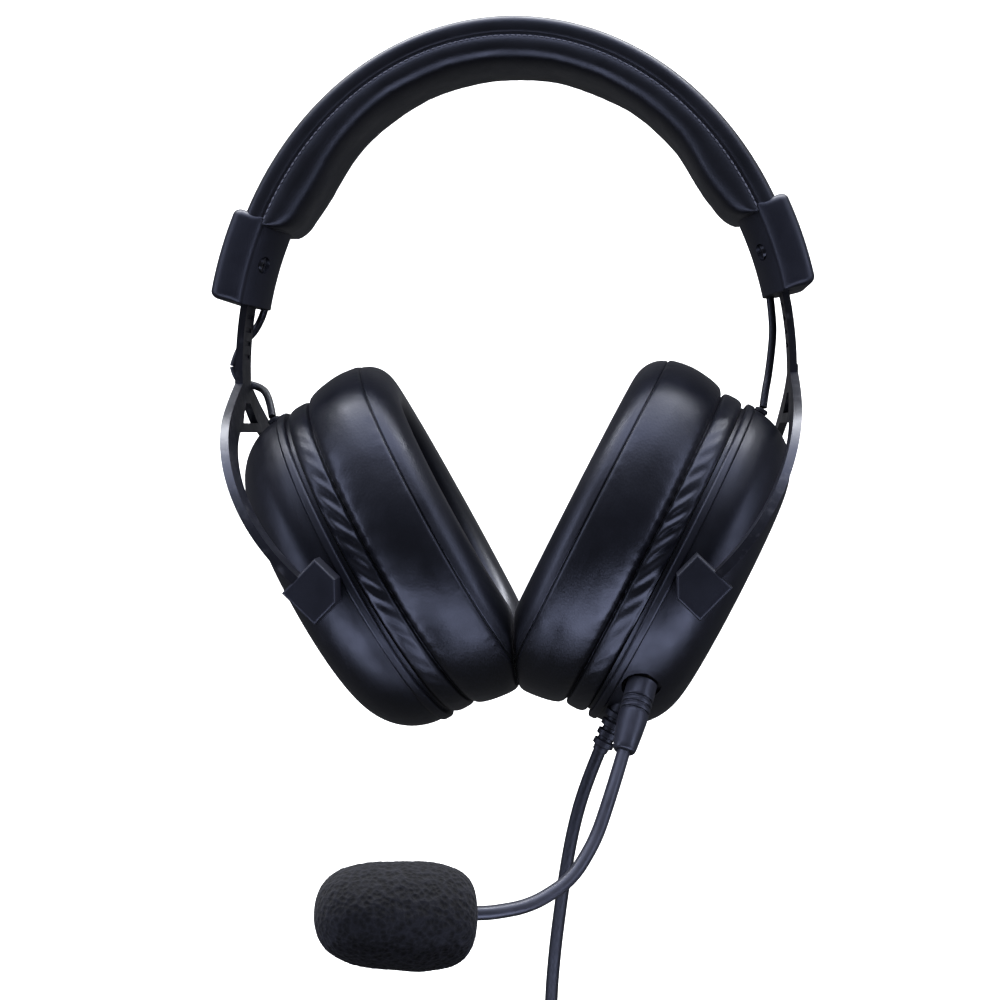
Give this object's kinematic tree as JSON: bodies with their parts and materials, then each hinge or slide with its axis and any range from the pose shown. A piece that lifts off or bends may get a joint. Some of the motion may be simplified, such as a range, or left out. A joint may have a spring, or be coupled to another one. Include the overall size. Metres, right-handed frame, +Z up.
{
  "type": "gaming headset",
  "caption": "Over-ear headset with a padded sprung headband, sliding yokes, swivelling oval cups, a detachable boom microphone and a cable ending in a jack plug.",
  "frame": {"origin": "middle of the headband cushion's underside, where the headset rests on a head", "axes": "+X towards the wearer's left cup, +Y towards the back of the head, +Z up"},
  "size_m": [0.1762, 0.1503, 0.4036],
  "materials": {
    "leatherette": "black leatherette, satin",
    "band_leatherette": "black leatherette, soft satin",
    "black_plastic": "black moulded plastic, fine matte texture",
    "shell_plastic": "black moulded plastic, satin",
    "black_metal": "black powder-coated sheet steel, satin",
    "spring_steel": "bare spring steel",
    "screw_black": "black oxide screw",
    "pin_steel": "turned steel",
    "lead_braid": "thin black sheathed lead",
    "cable_sheath": "black sheathed cable, matte",
    "rubber_black": "black moulded rubber",
    "boot_grey": "dark grey satin boot",
    "boom_black": "satin black flexible boom",
    "foam": "open-cell black foam",
    "gold": "gold-plated contacts",
    "scrim": "thin black woven scrim",
    "frame_plastic": "black moulded driver frame",
    "magnet": "nickel-plated magnet cup",
    "film": "thin polymer film",
    "board": "green wiring board",
    "tie": "black twist tie"
  },
  "bodies": {
    "headband": {"headband_cushion": "band_leatherette", "headband_spring": "spring_steel", "headband_top_cover": "band_leatherette", "headband_wire": "lead_braid", "left_block_inner": "black_plastic", "left_block_outer": "black_plastic", "left_block_screws": "screw_black", "left_detent_spring": "spring_steel", "left_link_lead_upper": "lead_braid", "right_block_inner": "black_plastic", "right_block_outer": "black_plastic", "right_block_screws": "screw_black", "right_detent_spring": "spring_steel", "right_link_lead_upper": "lead_braid"},
    "left_yoke_arm": {"left_yoke": "black_metal", "left_pivot_cap_front": "black_plastic", "left_pivot_cap_rear": "black_plastic", "left_pivot_pin_front": "pin_steel", "left_pivot_pin_rear": "pin_steel", "left_link_lead_lower": "lead_braid"},
    "left_cup": {"left_cup_shell": "shell_plastic", "left_baffle": "shell_plastic", "left_driver_frame": "frame_plastic", "left_driver_magnet": "magnet", "left_driver_diaphragm": "film", "left_ear_scrim": "scrim", "left_ear_pad": "leatherette", "left_cup_screws": "screw_black", "left_lead_grommet": "rubber_black", "left_wiring_board": "board", "mic_jack": "frame_plastic", "cable_strain_relief": "rubber_black", "cable_lead": "cable_sheath", "cable_hank": "cable_sheath", "cable_tie": "tie", "audio_plug": "gold", "audio_plug_grip": "rubber_black"},
    "right_yoke_arm": {"right_yoke": "black_metal", "right_pivot_cap_front": "black_plastic", "right_pivot_cap_rear": "black_plastic", "right_pivot_pin_front": "pin_steel", "right_pivot_pin_rear": "pin_steel", "right_link_lead_lower": "lead_braid"},
    "right_cup": {"right_cup_shell": "shell_plastic", "right_baffle": "shell_plastic", "right_driver_frame": "frame_plastic", "right_driver_magnet": "magnet", "right_driver_diaphragm": "film", "right_ear_scrim": "scrim", "right_ear_pad": "leatherette", "right_cup_screws": "screw_black", "right_lead_grommet": "rubber_black"},
    "microphone": {"mic_plug": "gold", "mic_sleeve": "boot_grey", "mic_boom": "boom_black", "mic_capsule_housing": "black_plastic", "mic_capsule": "magnet"},
    "windshield": {"mic_windshield": "foam"}
  },
  "joints": [
    {"name": "left_height_slider", "type": "hinge", "parent": "headband", "child": "left_yoke_arm", "pos_m": [-0.0288, 0, -0.0877], "axis": [0, 1, 0], "range_deg": [-9, 0], "deforming": ["left_link_lead_upper"]},
    {"name": "left_cup_pivot", "type": "hinge", "parent": "left_yoke_arm", "child": "left_cup", "pos_m": [0.05223, 0, -0.14881], "axis": [0, -1, 0], "range_deg": [0, 30], "deforming": ["left_link_lead_lower"]},
    {"name": "right_height_slider", "type": "hinge", "parent": "headband", "child": "right_yoke_arm", "pos_m": [0.0288, 0, -0.0877], "axis": [0, -1, 0], "range_deg": [-9, 0], "deforming": ["right_link_lead_upper"]},
    {"name": "right_cup_pivot", "type": "hinge", "parent": "right_yoke_arm", "child": "right_cup", "pos_m": [-0.05223, 0, -0.14881], "axis": [0, 1, 0], "range_deg": [0, 30], "deforming": ["right_link_lead_lower"]},
    {"name": "mic_unplug", "type": "slide", "parent": "left_cup", "child": "microphone", "axis": [-0.2494, -0.5486, -0.798], "range_m": [0, 0.016]},
    {"name": "windshield_pull", "type": "slide", "parent": "microphone", "child": "windshield", "axis": [-0.9253, -0.3575, 0.1262], "range_m": [0, 0.02]}
  ]
}
